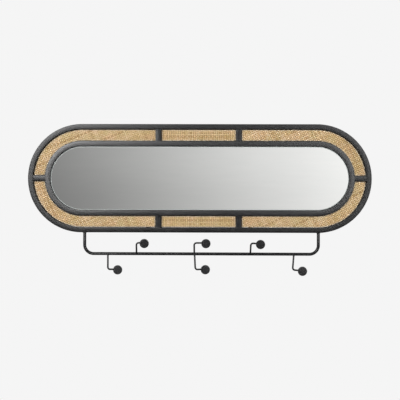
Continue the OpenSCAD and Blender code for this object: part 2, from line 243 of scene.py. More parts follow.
def draw_out(bm, edges, step):
    """Extrudes edges by a straight step, and gives the edges at the far end."""
    drawn = bmesh.ops.extrude_edge_only(bm, edges=edges)["geom"]
    verts = picked(drawn, BMVert)
    bmesh.ops.translate(bm, verts=verts, vec=step)
    far = set(verts)
    return [edge for edge in picked(drawn, BMEdge) if far.issuperset(edge.verts)]


def raise_faces(bm, height):
    """Draws flat faces up to a closed block, and gives the vertices of its top."""
    top = picked(bmesh.ops.extrude_face_region(bm, geom=bm.faces[:])["geom"], BMVert)
    bmesh.ops.translate(bm, verts=top, vec=(0, 0, height))
    return top


def add_copy(bm, source, matrix):
    """Adds a copy of one bench mesh to another, moved by a matrix."""
    mesh = bpy.data.meshes.new("copy")
    source.to_mesh(mesh)
    mesh.transform(matrix)
    bm.from_mesh(mesh)
    bpy.data.meshes.remove(mesh)


def cut_shape(bm, cutter, operation, solver):
    """Cuts a closed bench mesh with a closed cutter, and frees both."""
    pair = [add_object("to_cut", bm), add_object("cutter", cutter)]
    cut = pair[0].modifiers.new("cut", "BOOLEAN")
    cut.operation, cut.solver, cut.object = operation, solver, pair[1]
    cut.use_self = solver == "EXACT"
    result = bmesh.new()
    result.from_object(pair[0], bpy.context.evaluated_depsgraph_get())
    for temporary in pair:
        mesh = temporary.data
        bpy.data.objects.remove(temporary)
        bpy.data.meshes.remove(mesh)
    return result


print("vertices closer than", MERGE, "mm are merged")

# %% [markdown]
# ## The two hoops
# Each hoop is a bar bent round two ends and welded into a ring: square tube outside, flat tube inside. Its
# section starts as a square with bevelled corners. Spinning that section half a turn round the right end,
# drawing its two ends out to the middle and mirroring the result gives the whole ring, with no joint to
# see, as the real one is ground flush before it is coated.

# %% Measure the hoops
outer_low, outer_high = bench_box("outer_hoop")
inner_low = bench_box("inner_hoop")[0]
OUTER_R = outer_high.y
END_X = outer_high.x - OUTER_R
FRONT_Z = outer_high.z
HOOP_W, INNER_W, CHANNEL_W = 15, 16, 34
CHANNEL_OUTER_R = OUTER_R - HOOP_W
CHANNEL_INNER_R = CHANNEL_OUTER_R - CHANNEL_W
radii = [round(radius, 2) for radius in (OUTER_R, CHANNEL_INNER_R)]
print("hoops: radii", radii, "mm, round ends", round(2 * END_X, 2), "mm apart")

# %% Sweep a bar round each hoop
EDGE_ROUND = 1.0
END_STEPS = 72
QUARTER = math.pi / 2


def sweep_round(bm):
    """Takes what is drawn under the right end's centre round both ends and along both sides."""
    start = bm.edges[:] or bm.verts[:]
    last = spin(bm, bm.verts[:] + bm.edges[:], (END_X, 0, 0), (0, 0, 1), math.pi, END_STEPS)
    for ends in (start, picked(last, BMEdge) or picked(last, BMVert)):
        if isinstance(ends[0], BMEdge):
            draw_out(bm, ends, (-END_X, 0, 0))
        else:
            drawn = bmesh.ops.extrude_vert_indiv(bm, verts=ends)
            bmesh.ops.translate(bm, verts=drawn["verts"], vec=(-END_X, 0, 0))
    bmesh.ops.mirror(bm, geom=bm.verts[:] + bm.edges[:] + bm.faces[:], axis="X", merge_dist=MERGE)
    bmesh.ops.remove_doubles(bm, verts=bm.verts, dist=MERGE)


def make_hoop(radius, width, back_z):
    """A hoop of a rounded square or flat section, with its front at FRONT_Z."""
    bm = bmesh.new()
    depth = FRONT_Z - back_z
    grid = bmesh.ops.create_grid(
        bm, x_segments=1, y_segments=1, size=0.5, matrix=Matrix.Diagonal((width, depth, 1, 1)))
    round_off(bm, grid["verts"], EDGE_ROUND, 4, "VERTICES")
    stand_section = Matrix.Rotation(QUARTER, 4, "Y") @ Matrix.Rotation(QUARTER, 4, "Z")
    middle = Matrix.Translation((END_X, -radius + width / 2, back_z + depth / 2))
    bmesh.ops.transform(bm, matrix=middle @ stand_section, verts=bm.verts)
    bmesh.ops.delete(bm, geom=bm.faces[:], context="FACES_ONLY")
    sweep_round(bm)
    bmesh.ops.recalc_face_normals(bm, faces=bm.faces)
    return bm


outer_ring = make_hoop(OUTER_R, HOOP_W, outer_low.z)
hang("outer_hoop_tube", outer_ring, [powder_coat], ["outer_hoop"])
inner_ring = make_hoop(CHANNEL_INNER_R, INNER_W, inner_low.z)
hang("inner_hoop_bar", inner_ring, [inner_coat], ["inner_hoop"])
print("swept two hoops,", HOOP_W, "and", INNER_W, "mm wide")

# %% [markdown]
# ## Spreader bars
# Six short bars are welded between the hoops. The coated welds fill the four corners where a bar meets a
# hoop, so that a woven panel ends in soft corners. The bar is therefore drawn as a flat outline that
# flares at both ends, its inner corners are rounded, and it is drawn up to the height of the hoops'
# fronts.

# %% Model one spreader and place six
SPREADER_W = 16
FLARE, FLARE_BITE, FLARE_ROUND = 2.6, 0.7, 2.0
NEAR = 0.1
CHANNEL_MID_R = (CHANNEL_OUTER_R + CHANNEL_INNER_R) / 2


def make_spreader(matrix):
    """A spreader along Y, whose ends reach a little into the hoops."""
    back_z = bench_box("spreader_top_left")[0].z
    half_l = CHANNEL_W / 2 + FLARE_BITE
    half_w = SPREADER_W / 2
    bm = bmesh.new()
    side = [(half_w + FLARE, -half_l), (half_w, -half_l + FLARE_BITE + FLARE)]
    right = side + [(x, -y) for x, y in reversed(side)]
    outline = right + [(-x, y) for x, y in reversed(right)]
    bm.faces.new([bm.verts.new((x, y, back_z)) for x, y in outline])
    round_off(bm, [v for v in bm.verts if abs(v.co.x) < half_w + NEAR], FLARE_ROUND, 5, "VERTICES")
    raise_faces(bm, FRONT_Z - back_z)
    rims = [e for e in bm.edges if all(v.co.z > FRONT_Z - NEAR for v in e.verts)
            and not all(abs(v.co.y) > half_l - NEAR for v in e.verts)]
    round_off(bm, rims, EDGE_ROUND, 3, clamp=True)
    bmesh.ops.transform(bm, matrix=matrix, verts=bm.verts)
    bmesh.ops.recalc_face_normals(bm, faces=bm.faces)
    return bm


SPREADERS = ("top_left", "top_right", "bottom_left", "bottom_right", "end_left", "end_right")
for name in SPREADERS:
    low, high = bench_box("spreader_" + name)
    turn = Matrix()
    middle = (low + high) / 2
    if name.startswith("end"):
        turn = Matrix.Rotation(QUARTER, 4, "Z")
        middle.x = math.copysign(END_X + CHANNEL_MID_R, middle.x)
    bm = make_spreader(Matrix.Translation((middle.x, middle.y, 0)) @ turn)
    hang("spreader_bar_" + name, bm, [powder_coat], ["spreader_" + name])
print("spreaders:", len(SPREADERS), "bars", SPREADER_W, "mm wide")

# %% [markdown]
# ## The glass
# The mirror is float glass, silvered on its back and sealed with grey paint. Its front is flat and clear,
# and its rim is ground to a narrow slope so that it isn't sharp. The slope scatters the light, and draws a
# thin pale line round the mirror. The silver is modelled as a clean metal with faint wiping marks in its
# gloss; a real metal's colour sits in its reflection, here very slightly green from the glass.

# %% Silvering, ground edge and backing paint
silvering, tree, place = start_material("silvered_float_glass")
# The wiping marks lean by half a radian, and are seven times as long as they are wide.
wiped = add_node(tree, "Mapping", {"Vector": place, "Rotation": (0, 0.5, 0), "Scale": (1, 1, 7)})
smear = add_node(tree, "TexNoise", {"Vector": wiped, "Scale": per_metre(90), "Detail": 4.0})
haze = add_node(tree, "MapRange", {
    "Value": smear, "From Min": 0.35, "From Max": 0.75, "To Min": 0.012, "To Max": 0.03})
tint = add_node(tree, "ValToRGB", {"Fac": smear}, stops={0: "#ebecea", 1: "#f0f0ee"})
finish_material(tree, {"Metallic": 1.0, "Base Color": tint, "Roughness": haze})

ground_glass, tree, place = start_material("ground_glass_edge")
# Grinding grit of about 0.1 mm, drawn at 0.5 mm so that it shows.
grit = add_node(tree, "TexNoise", {"Vector": place, "Scale": per_metre(0.5), "Detail": 2.0})
frost = add_node(tree, "ValToRGB", {"Fac": grit}, stops={0: "#b9c1be", 1: "#d9dedc"})
frost_gloss = add_node(tree, "MapRange", {"Value": grit, "To Min": 0.3, "To Max": 0.5})
frost_bump = add_node(tree, "Bump", {"Strength": 0.4, "Distance": 0.00005, "Height": grit})
finish_material(tree, {"IOR": 1.52, "Base Color": frost, "Roughness": frost_gloss, "Normal": frost_bump})

backing_paint, tree, place = start_material("grey_mirror_backing_paint")
streak = add_node(tree, "TexNoise", {"Vector": place, "Scale": per_metre(12), "Detail": 3.0})
paint = add_node(tree, "ValToRGB", {"Fac": streak}, stops={0: "#6f7678", 1: "#7e8486"})
finish_material(tree, {"Roughness": 0.6, "Base Color": paint})
print("made", silvering.name, ground_glass.name, "and", backing_paint.name)

# %% Model the glass
SLOPE_W, SLOPE_DEPTH = 1.8, 0.6
BACK_BEVEL = 0.4


def make_plate(radius, low_z, high_z):
    """A plate with two straight sides and two round ends."""
    bm = bmesh.new()
    bm.verts.new((END_X, -radius, low_z))
    sweep_round(bm)
    bmesh.ops.contextual_create(bm, geom=bm.edges[:])
    raise_faces(bm, high_z - low_z)
    bmesh.ops.recalc_face_normals(bm, faces=bm.faces)
    return bm


def rim_edges(bm, z):
    """The edges that lie at one height."""
    return [e for e in bm.edges if all(abs(v.co.z - z) < MERGE for v in e.verts)]


glass_low, glass_high = bench_box("mirror_glass")
bm = make_plate(glass_high.y, glass_low.z, glass_high.z)
round_off(bm, rim_edges(bm, glass_high.z), SLOPE_W, 1)
for vert in bm.verts:
    if glass_low.z + NEAR < vert.co.z < glass_high.z - NEAR:
        vert.co.z = glass_high.z - SLOPE_DEPTH
bm.normal_update()
round_off(bm, rim_edges(bm, glass_low.z), BACK_BEVEL, 1)
FRONT, RIM, BACK = range(3)
for face in bm.faces:
    face.material_index = FRONT if face.normal.z > 0.99 else BACK if face.normal.z < -0.99 else RIM
# A small crease angle keeps the slope's edges sharp, so that the flat front reflects as a flat mirror.
hang("mirror_pane", bm, [silvering, ground_glass, backing_paint], ["mirror_glass"], crease=10)
print("glass:", [round(side, 1) for side in glass_high - glass_low], "mm")

# %% [markdown]
# ## The back board
# A sheet of medium-density fibreboard fills the outer hoop from behind. It shows the eye a flat brown felt
# of short fibres with darker specks, and the arris of its rear rim is sanded off. From the front it is the
# dark ground that shows in the gaps round the woven panels.

# %% Fibreboard
fibreboard, tree, place = start_material("raw_fibreboard")
fibre = add_node(tree, "TexNoise", {
    "Vector": place, "Scale": per_metre(1.5), "Detail": 6.0, "Roughness": 0.7})
cloud = add_node(tree, "TexNoise", {"Vector": place, "Scale": per_metre(45), "Detail": 2.0})
felt = add_node(tree, "Mix", {"Factor": 0.2, "A": fibre, "B": cloud}, {"data_type": "FLOAT"})
brown = add_node(tree, "ValToRGB", {"Fac": felt}, stops={0.3: "#6e4c2f", 0.7: "#93704b"})
board_gloss = add_node(tree, "MapRange", {"Value": fibre, "To Min": 0.6, "To Max": 0.8})
board_bump = add_node(tree, "Bump", {"Strength": 0.3, "Distance": 0.0001, "Height": fibre})
finish_material(tree, {
    "Specular IOR Level": 0.3, "Base Color": brown, "Roughness": board_gloss, "Normal": board_bump})

BOARD_ROUND = 0.6
board_low, board_high = bench_box("back_board")
bm = make_plate(board_high.y, board_low.z, board_high.z)
round_off(bm, rim_edges(bm, board_low.z), BOARD_ROUND, 2)
hang("fibre_board", bm, [fibreboard], ["back_board"])
print("board:", [round(side, 1) for side in board_high - board_low], "mm")

# %% [markdown]
# ## Split cane
# The border is filled with close-woven cane: thin strips of rattan bark, flat below and rounded on top. A
# strip is a warm straw colour with fine fibres along its length and a faint natural sheen. No two strips
# match, and now and then one is darker or paler. The strip's own UV map carries this: U runs along the
# strip in millimetres, and the whole part of V is the strip's number.

# %% Cane: the colour of each strip
cane, tree, place = start_material("split_cane_woven")
strip_uv = add_node(tree, "UVMap", settings={"uv_map": "strip"})
parts = add_node(tree, "SeparateXYZ", {"Vector": strip_uv})
along, number = parts.outputs["X"], parts.outputs["Y"]
strip_number = add_node(tree, "Math", {0: number}, {"operation": "FLOOR"})
lot = add_node(tree, "TexWhiteNoise", {"W": strip_number}, {"noise_dimensions": "1D"})
strip_tone = add_node(tree, "ValToRGB", {"Fac": lot}, stops={
    0: "#c3a980", 0.06: "#ddc69e", 0.5: "#ebd7b1", 0.88: "#f1e2c2", 1: "#f8edd2"})
# Fibres run along the strip, about 0.3 mm wide and 25 times as long.
fibre_place = add_node(tree, "CombineXYZ", {"X": along, "Y": number})
fibre_scale = add_node(tree, "Mapping", {"Vector": fibre_place, "Scale": (0.13, 18, 1)})
fibres = add_node(tree, "TexNoise", {"Vector": fibre_scale, "Scale": 1.0, "Detail": 3.0})
fibre_tone = add_node(tree, "ValToRGB", {"Fac": fibres}, stops={0.3: "#c9b9a4", 0.62: "#ffffff"})
with_fibres = add_node(tree, "Mix", {"Factor": 1.0, MIX_A: strip_tone, MIX_B: fibre_tone}, MULTIPLY)
# Patches of about 28 mm drift between a greener and a pinker straw.
mottle = add_node(tree, "TexNoise", {"Vector": place, "Scale": per_metre(28), "Detail": 2.0})
patch_tone = add_node(tree, "ValToRGB", {"Fac": mottle}, stops={0.35: "#f1ead1", 0.65: "#fff2e6"})
with_patches = add_node(tree, "Mix", {
    "Factor": 1.0, MIX_A: with_fibres.outputs[MIXED], MIX_B: patch_tone}, MULTIPLY)
print("mixed strips, fibres and patches")

# %% Cane: painted rim light, painted edge shade and gloss
# Painted light: the cane is painted paler near a panel's rim, to offset the shade that the hoops' walls
# cast there.
rim = add_node(tree, "Attribute", settings={"attribute_name": "rim"})
with_painted_rim_light = add_node(tree, "Mix", {
    "Factor": rim.outputs["Fac"], MIX_A: with_patches.outputs[MIXED], MIX_B: linear("#f6ecd6")}, MIX)
# Painted shade: a strip is darkened towards its split edges, where shade falls between strips, which draws
# the lines between them.
across = add_node(tree, "Math", {0: number}, {"operation": "FRACT"})
from_middle = add_node(tree, "Math", {0: across, 1: 0.5}, {"operation": "SUBTRACT"})
to_edge = add_node(tree, "Math", {0: from_middle}, {"operation": "ABSOLUTE"})
# The strips of the second direction have the higher numbers, and get stronger painted edge shade than the
# first.
SECOND_FROM = 400.0
second = add_node(tree, "Math", {0: number, 1: SECOND_FROM}, {"operation": "GREATER_THAN"})
strength = add_node(tree, "MapRange", {"Value": second, "To Min": 0.4, "To Max": 0.8})
painted_edge_shade = add_node(tree, "MapRange", {
    "Value": to_edge, "From Min": 0.2, "From Max": 0.4, "To Min": 0.0, "To Max": strength}, SMOOTH)
# Painted shade: the colour is multiplied towards a darker brown at each strip's edges.
with_painted_edge_shade = add_node(tree, "Mix", {
    "Factor": painted_edge_shade, MIX_A: with_painted_rim_light.outputs[MIXED], MIX_B: linear("#b08f66")}, MULTIPLY)
cane_gloss = add_node(tree, "MapRange", {"Value": fibres, "To Min": 0.52, "To Max": 0.72})
cane_bump = add_node(tree, "Bump", {"Strength": 0.15, "Distance": 0.0001, "Height": fibres})
finish_material(tree, {
    "Specular IOR Level": 0.45, "Base Color": with_painted_edge_shade.outputs[MIXED], "Roughness": cane_gloss,
    "Normal": cane_bump})
print("made", cane.name)

# %% [markdown]
# ## Weaving the panels
# A panel is woven larger than it has to be and then cut to shape, as a maker cuts it from the roll. The
# four long panels are cut on the bias, at about 25 degrees, and the two short ones along the strips. Every
# strip is one grid with a rounded top, drawn down to a closed strip, and raised and lowered over and under
# the strips that cross it. All panels are woven in the upper right quarter of the frame and turned over to
# their own quarter last. First come the cloth's measures and the two outlines, as depths below a panel's
# border.

# %% Measures of the cloth
# The real strips may be a little finer: 5.4 mm apart they still show in the render.
PITCH, STRIP_W = 5.4, 4.5
STRIP_EDGE_T, STRIP_CROWN, WAVE = 0.22, 0.38, 0.52
STEP = PITCH / 4
STRIP_QUADS = 4
CLOTH_REACH, CUT_MARGIN, FEWEST_QUADS = 595, 4.5, 3
LAST_LINE, LAST_COLUMN = int(CLOTH_REACH / PITCH), int(CLOTH_REACH / STEP)
WEAVE_GAP = 0.8
PANEL_OUTER_R, PANEL_INNER_R = CHANNEL_OUTER_R - WEAVE_GAP, CHANNEL_INNER_R + WEAVE_GAP
WEAVE_Z = bench_box("woven_top_right")[1].z - WAVE - STRIP_EDGE_T / 2 - STRIP_CROWN


def flipped_box(name, flip):
    """The lowest and highest X and Y of a panel, turned over into the upper right quarter."""
    low, high = bench_box("woven_" + name)
    xs = sorted((flip[0] * low.x, flip[0] * high.x))
    ys = sorted((flip[1] * low.y, flip[1] * high.y))
    return (*xs, *ys)


def depth_in_quarter(x, y, box):
    """How far a point lies inside the outline of an upper right panel; negative outside."""
    radius = math.hypot(max(x - END_X, 0), y)
    return min(PANEL_OUTER_R - radius, radius - PANEL_INNER_R, x - box[0], y - box[2])


def depth_in_middle(x, y, box):
    """How far a point lies inside the outline of the upper middle panel; negative outside."""
    return min(x - box[0], box[1] - x, y - box[2], box[3] - y)


print("cloth: a strip every", PITCH, "mm,", 2 * LAST_LINE + 1, "strips each way at most")

# %% Lay the strips of one direction
# A strip in fifty is split too narrow, and leaves a dark line.
NARROW_SHARE, NARROW_WIDTH = 0.02, 0.62
LEAST_WIDTH, MOST_WIDTH, SHIFT = 0.9, 1.04, 0.12
# The wave is a cosine with flattened tops, because a strip lies flat where it crosses another.
FLATTEN = 1.4


def strip_runs(depth, box, turn, line):
    """First and last column of each run of a strip that crosses the panel."""
    runs = []
    for k in range(-LAST_COLUMN, LAST_COLUMN + 1):
        place = turn @ Vector((k * STEP, line * PITCH, 0))
        if depth(place.x, place.y, box) <= -CUT_MARGIN:
            continue
        if runs and k == runs[-1][1] + 1:
            runs[-1][1] = k
        else:
            runs.append([k, k])
    return [(first, last) for first, last in runs if last - first >= FEWEST_QUADS]


def split_width(chance):
    """The width of a strip as a share of the usual one."""
    return NARROW_WIDTH if chance.random() < NARROW_SHARE else chance.uniform(LEAST_WIDTH, MOST_WIDTH)


def lay_strips(bm, depth, box, turn, phase, middle_number, chance):
    """Lays all strips of one direction, rounded, waved and numbered in their UV map."""
    cloth = bmesh.new()
    lines = range(-LAST_LINE, LAST_LINE + 1)
    for line in lines:
        for first, last in strip_runs(depth, box, turn, line):
            middle = Matrix.Translation(((first + last) / 2 * STEP, line * PITCH, 0))
            size = Matrix.Diagonal(((last - first) * STEP, STRIP_W, 1, 1))
            bmesh.ops.create_grid(
                cloth, x_segments=last - first, y_segments=STRIP_QUADS, size=0.5, matrix=middle @ size)
    tops = set(raise_faces(cloth, 0))
    uv = cloth.loops.layers.uv.new("strip")
    for face in cloth.faces:
        for loop in face.loops:
            x, y = loop.vert.co.xy
            loop[uv].uv = (x, middle_number + 0.5 + y / PITCH)
    widths = {line: split_width(chance) for line in lines}
    shifts = {line: chance.uniform(-SHIFT, SHIFT) for line in lines}
    for vert in cloth.verts:
        x, y = vert.co.xy
        line = round(y / PITCH)
        across = y - line * PITCH
        height = STRIP_EDGE_T / 2
        if vert in tops:
            height += STRIP_CROWN * (1 - (2 * across / STRIP_W) ** 2)
        else:
            height = -height
        wave = max(-1, min(1, FLATTEN * math.cos(math.pi * x / PITCH)))
        sign = phase if line % 2 == 0 else -phase
        vert.co.y = line * PITCH + across * widths[line] + shifts[line]
        vert.co.z = height + sign * WAVE * wave
    bmesh.ops.recalc_face_normals(cloth, faces=cloth.faces)
    add_copy(bm, cloth, turn)
    cloth.free()


print("a strip is", STRIP_W, "mm wide and", round(STRIP_EDGE_T + STRIP_CROWN, 2), "mm thick")

# %% [markdown]
# ## Cutting the cloth
# A boolean with the panel's outline, drawn up to a block, cuts the cloth. The outline's corners are
# rounded, since the welds fill the channel's corners, and its border is drawn in by uneven steps, because
# cut cane frays and the shears wander.

# %% Outlines and the cutter
# Corners sharper than this many radians are rounded, by this many millimetres.
SHARP_CORNER, CORNER_ROUND = 2.2, 2.2
OUTLINE_STEPS = 40
FRAY_STEP, FRAY_LEAST, FRAY_MOST = 3.2, 0.1, 1.3
PROBE, CUTTER_H = 0.01, 20


def quarter_outline(box):
    """Flat outline of an upper right panel."""
    bm = bmesh.new()
    ends = [bm.verts.new((box[0], r, 0)) for r in (PANEL_INNER_R, PANEL_OUTER_R)]
    across = draw_out(bm, [bm.edges.new(ends)], (END_X - box[0], 0, 0))
    verts = list({v for e in across for v in e.verts})
    spin(bm, across + verts, (END_X, 0, 0), (0, 0, -1), QUARTER, OUTLINE_STEPS)
    bmesh.ops.bisect_plane(
        bm, geom=bm.verts[:] + bm.edges[:] + bm.faces[:], dist=0.001, plane_co=(0, box[2], 0),
        plane_no=(0, 1, 0), clear_inner=True)
    bmesh.ops.dissolve_faces(bm, faces=bm.faces[:])
    return bm


def middle_outline(box):
    """Flat outline of the upper middle panel."""
    bm = bmesh.new()
    middle = Matrix.Translation(((box[0] + box[1]) / 2, (box[2] + box[3]) / 2, 0))
    matrix = middle @ Matrix.Diagonal((box[1] - box[0], box[3] - box[2], 1, 1))
    bmesh.ops.create_grid(bm, x_segments=1, y_segments=1, size=0.5, matrix=matrix)
    return bm


def fray(outline, depth, box, chance):
    """Divides the outline's border into short pieces and draws their ends in by chance."""
    for edge in [edge for edge in outline.edges if edge.is_boundary]:
        cuts = int(edge.calc_length() / FRAY_STEP)
        if cuts:
            bmesh.ops.subdivide_edges(outline, edges=[edge], cuts=cuts)
    # The operators leave the vertices in any order, so they are sorted, and each run draws alike.
    for vert in sorted(outline.verts, key=lambda vert: vert.co.to_tuple(2)):
        x, y = vert.co.xy
        here = depth(x, y, box)
        inward = Vector((depth(x + PROBE, y, box) - here, depth(x, y + PROBE, box) - here, 0))
        if inward.length > 0:
            vert.co += chance.uniform(FRAY_LEAST, FRAY_MOST) * inward.normalized()


def corner_angle(vert):
    """The angle in radians between a vertex's two edges."""
    one, other = (edge.other_vert(vert).co - vert.co for edge in vert.link_edges[:2])
    return one.angle(other)


def make_cutter(outline, depth, box, chance):
    """Rounds and frays an outline, and draws it up to a block that cuts the cloth."""
    corners = [v for v in outline.verts if corner_angle(v) < SHARP_CORNER]
    round_off(outline, corners, CORNER_ROUND, 4, "VERTICES")
    fray(outline, depth, box, chance)
    bmesh.ops.translate(outline, verts=outline.verts, vec=(0, 0, -CUTTER_H / 2))
    raise_faces(outline, CUTTER_H)
    bmesh.ops.recalc_face_normals(outline, faces=outline.faces)
    return outline


print("the cut border wanders by up to", FRAY_MOST, "mm")

# %% [markdown]
# ## From cloth to panels
# The cloth sways a little, since no weaver keeps a line quite straight. Its rim is pressed down where it
# is glued to the board, and painted paler there: painted light against the shade of the bars beside it.

# %% Weave the six panels
SWAY, SWAY_SPAN = 0.5, 60
PRESS_REACH, PRESS_DEPTH = 3.5, 0.3
# How strongly painted light brightens the cane at a panel's rim, against the shade there.
RIM_PAINTED_LIGHT = 0.75
# The numbers of the middle strips of the two directions
FIRST_MIDDLE, SECOND_MIDDLE = 200, 600


def rimness(x, y, depth, box):
    """One at a panel's border and less further in, down to nought where the pressing ends."""
    return max(0, 1 - max(depth(x, y, box), 0) / PRESS_REACH)


def weave_panel(name, depth, outline, angle, flip, seed):
    """Weaves, presses and cuts one panel, then turns it over to its own quarter of the frame."""
    chance = random.Random(seed)
    # Unseeded, the noise would start from the clock, and the cloth would differ with each run.
    noise.seed_set(seed)
    box = flipped_box(name, flip)
    bm = bmesh.new()
    bm.loops.layers.uv.new("strip")
    offset = Matrix.Translation((chance.uniform(0, PITCH), chance.uniform(0, PITCH), 0))
    for quarter_turns, phase, middle_number in ((0, 1, FIRST_MIDDLE), (1, -1, SECOND_MIDDLE)):
        turn = offset @ Matrix.Rotation(math.radians(angle) + quarter_turns * QUARTER, 4, "Z")
        lay_strips(bm, depth, box, turn, phase, middle_number, chance)
    for vert in bm.verts:
        x, y = vert.co.xy
        sway = SWAY * noise.noise_vector(Vector((x / SWAY_SPAN, y / SWAY_SPAN, seed)))
        vert.co += Vector((sway.x, sway.y, -PRESS_DEPTH * rimness(x, y, depth, box) ** 2))
    woven = cut_shape(bm, make_cutter(outline(box), depth, box, chance), "INTERSECT", "MANIFOLD")
    # The rim attribute carries painted light: how much paler the cane is painted near its border.
    rim_painted_light_layer = woven.verts.layers.float.new("rim")
    for vert in woven.verts:
        vert[rim_painted_light_layer] = RIM_PAINTED_LIGHT * rimness(vert.co.x, vert.co.y, depth, box)
    turn_over = Matrix.Translation((0, 0, WEAVE_Z)) @ Matrix.Diagonal((*flip, 1, 1))
    bmesh.ops.transform(woven, matrix=turn_over, verts=woven.verts)
    if flip[0] * flip[1] < 0:
        bmesh.ops.reverse_faces(woven, faces=woven.faces)
    print("wove", name, "with", len(woven.faces), "faces")
    hang("cane_" + name, woven, [cane], ["woven_" + name], crease=50)


for name, flip, seed in (("top_middle", (1, 1), 13), ("bottom_middle", (1, -1), 14)):
    weave_panel(name, depth_in_middle, middle_outline, 0, flip, seed)
for name, angle, flip, seed in (
        ("top_left", 68, (-1, 1), 5), ("top_right", 115, (1, 1), 6), ("bottom_left", 115, (-1, -1), 7),
        ("bottom_right", 63, (1, -1), 8)):
    weave_panel(name, depth_in_quarter, quarter_outline, angle, flip, seed)

# %% [markdown]
# ## The hook rail
# The rail is one solid rod, bent to a wide U and welded under the outer hoop. A ring of edges is drawn out
# straight and spun round each bend, which keeps the rod's thickness true in the bends. A weld bead runs
# round each end: a small ring with the ripples that the welder's steps leave, blurred by the coat.

# %% Bend a rod and run a weld round it
RAIL_D, RAIL_W, RAIL_DROP, RAIL_BEND, RAIL_SHIFT = 9, 681, 62, 26, 6
RAIL_Z = (outer_low.z + FRONT_Z) / 2
RAIL_Y = -OUTER_R - RAIL_DROP
ROD_ROUND = 0.35
BEAD_SIDES, BEAD_STEPS = 10, 48
RIPPLE, UNEVEN = 0.09, 0.05


def bend_rod(points, bend_radius, rod_radius, sides=24, bend_steps=10):
    """A round rod along corner points: a ring of edges, drawn out straight and spun round each bend."""
    bm = bmesh.new()
    points = [Vector(point) for point in points]
    way = (points[1] - points[0]).normalized()
    start = Matrix.Translation(points[0]) @ way.to_track_quat("Z", "Y").to_matrix().to_4x4()
    bmesh.ops.create_circle(bm, cap_ends=False, segments=sides, radius=rod_radius, matrix=start)
    ring = bm.edges[:]
    place = points[0]
    for corner, beyond in zip(points[1:], points[2:]):
        way_out = (beyond - corner).normalized()
        angle = way.angle(way_out)
        set_back = bend_radius * math.tan(angle / 2)
        ring = draw_out(bm, ring, corner - set_back * way - place)
        inward = (way_out - way_out.dot(way) * way).normalized()
        verts = list({v for e in ring for v in e.verts})
        centre = corner - set_back * way + bend_radius * inward
        last = spin(bm, ring + verts, centre, inward.cross(way) * -1, angle, bend_steps)
        ring = picked(last, BMEdge)
        way, place = way_out, corner + set_back * way_out
    draw_out(bm, ring, points[-1] - place)
    caps = bmesh.ops.holes_fill(bm, edges=bm.edges[:], sides=0)["faces"]
    round_off(bm, list({e for face in caps for e in face.edges}), ROD_ROUND, 2)
    bmesh.ops.recalc_face_normals(bm, faces=bm.faces)
    return bm


def weld_ring(bm, matrix, radius, bead, ripples):
    """A weld bead round a rod that stands up along Z from the matrix's origin."""
    ring = bmesh.new()
    stand_up = Matrix.Translation((radius, 0, 0)) @ Matrix.Rotation(QUARTER, 4, "X")
    bmesh.ops.create_circle(ring, cap_ends=False, segments=BEAD_SIDES, radius=bead, matrix=stand_up)
    spin(ring, ring.verts[:] + ring.edges[:], (0, 0, 0), (0, 0, 1), 2 * math.pi, BEAD_STEPS, whole=True)
    for vert in ring.verts:
        angle = math.atan2(vert.co.y, vert.co.x)
        swell = 1 + RIPPLE * math.cos(ripples * angle) + UNEVEN * math.sin(2 * angle + radius)
        out = Vector((math.cos(angle), math.sin(angle), 0)) * radius
        vert.co = out + (vert.co - out) * swell
    bmesh.ops.recalc_face_normals(ring, faces=ring.faces)
    add_copy(bm, ring, matrix)
    ring.free()


print("rods are bent in steps, and a weld has", BEAD_STEPS, "steps round the rod")

# %% Model the rail
WELD_BITE = 0.6
POST_BEAD, POST_BEAD_OUT, POST_BEAD_DOWN, POST_RIPPLES = 1.25, 0.5, 0.1, 17
rail_left, rail_right = RAIL_SHIFT - RAIL_W / 2, RAIL_SHIFT + RAIL_W / 2
post_top = -OUTER_R + WELD_BITE
bm = bend_rod(
    [(rail_left, post_top, RAIL_Z), (rail_left, RAIL_Y, RAIL_Z), (rail_right, RAIL_Y, RAIL_Z),
     (rail_right, post_top, RAIL_Z)], RAIL_BEND, RAIL_D / 2, sides=32, bend_steps=16)
for x in (rail_left, rail_right):
    weld_place = Matrix.Translation((x, -OUTER_R + POST_BEAD_DOWN, RAIL_Z))
    downward = weld_place @ Matrix.Rotation(QUARTER, 4, "X")
    weld_ring(bm, downward, RAIL_D / 2 + POST_BEAD_OUT, POST_BEAD, POST_RIPPLES)
hang("rail_rod", bm, [powder_coat], ["hook_rail"], crease=50)
print("rail:", RAIL_W, "mm between posts,", RAIL_DROP, "mm below the hoop")

# %% [markdown]
# ## The hooks
# Each hook is a bent wire with a round knob on its end. The wire is welded across the front of the rail,
# with a short bead on both sides. It rises or drops, turns right and then forward. No two hooks sit quite
# alike, so each has its own place, reach and lean. The knobs are turned discs with a faintly crowned face
# and a rounded rim, and a small collar of weld behind.

# %% Turn a knob
WIRE_D = 5
KNOB_R, KNOB_T, KNOB_ROUND, KNOB_CROWN = 13.25, 3.2, 1.2, 0.22
COLLAR_BEAD, COLLAR_OUT, COLLAR_SINK, COLLAR_RIPPLES = 0.8, 0.3, 0.1, 9


def spin_section(section, steps):
    """Closed turned shape from half of its section, which starts and ends on the axis Z."""
    bm = bmesh.new()
    verts = [bm.verts.new((radius, 0, z)) for radius, z in section]
    edges = [bm.edges.new(pair) for pair in zip(verts, verts[1:])]
    spin(bm, verts + edges, (0, 0, 0), (0, 0, 1), 2 * math.pi, steps, whole=True)
    bmesh.ops.remove_doubles(bm, verts=bm.verts, dist=0.001)
    bmesh.ops.recalc_face_normals(bm, faces=bm.faces)
    return bm


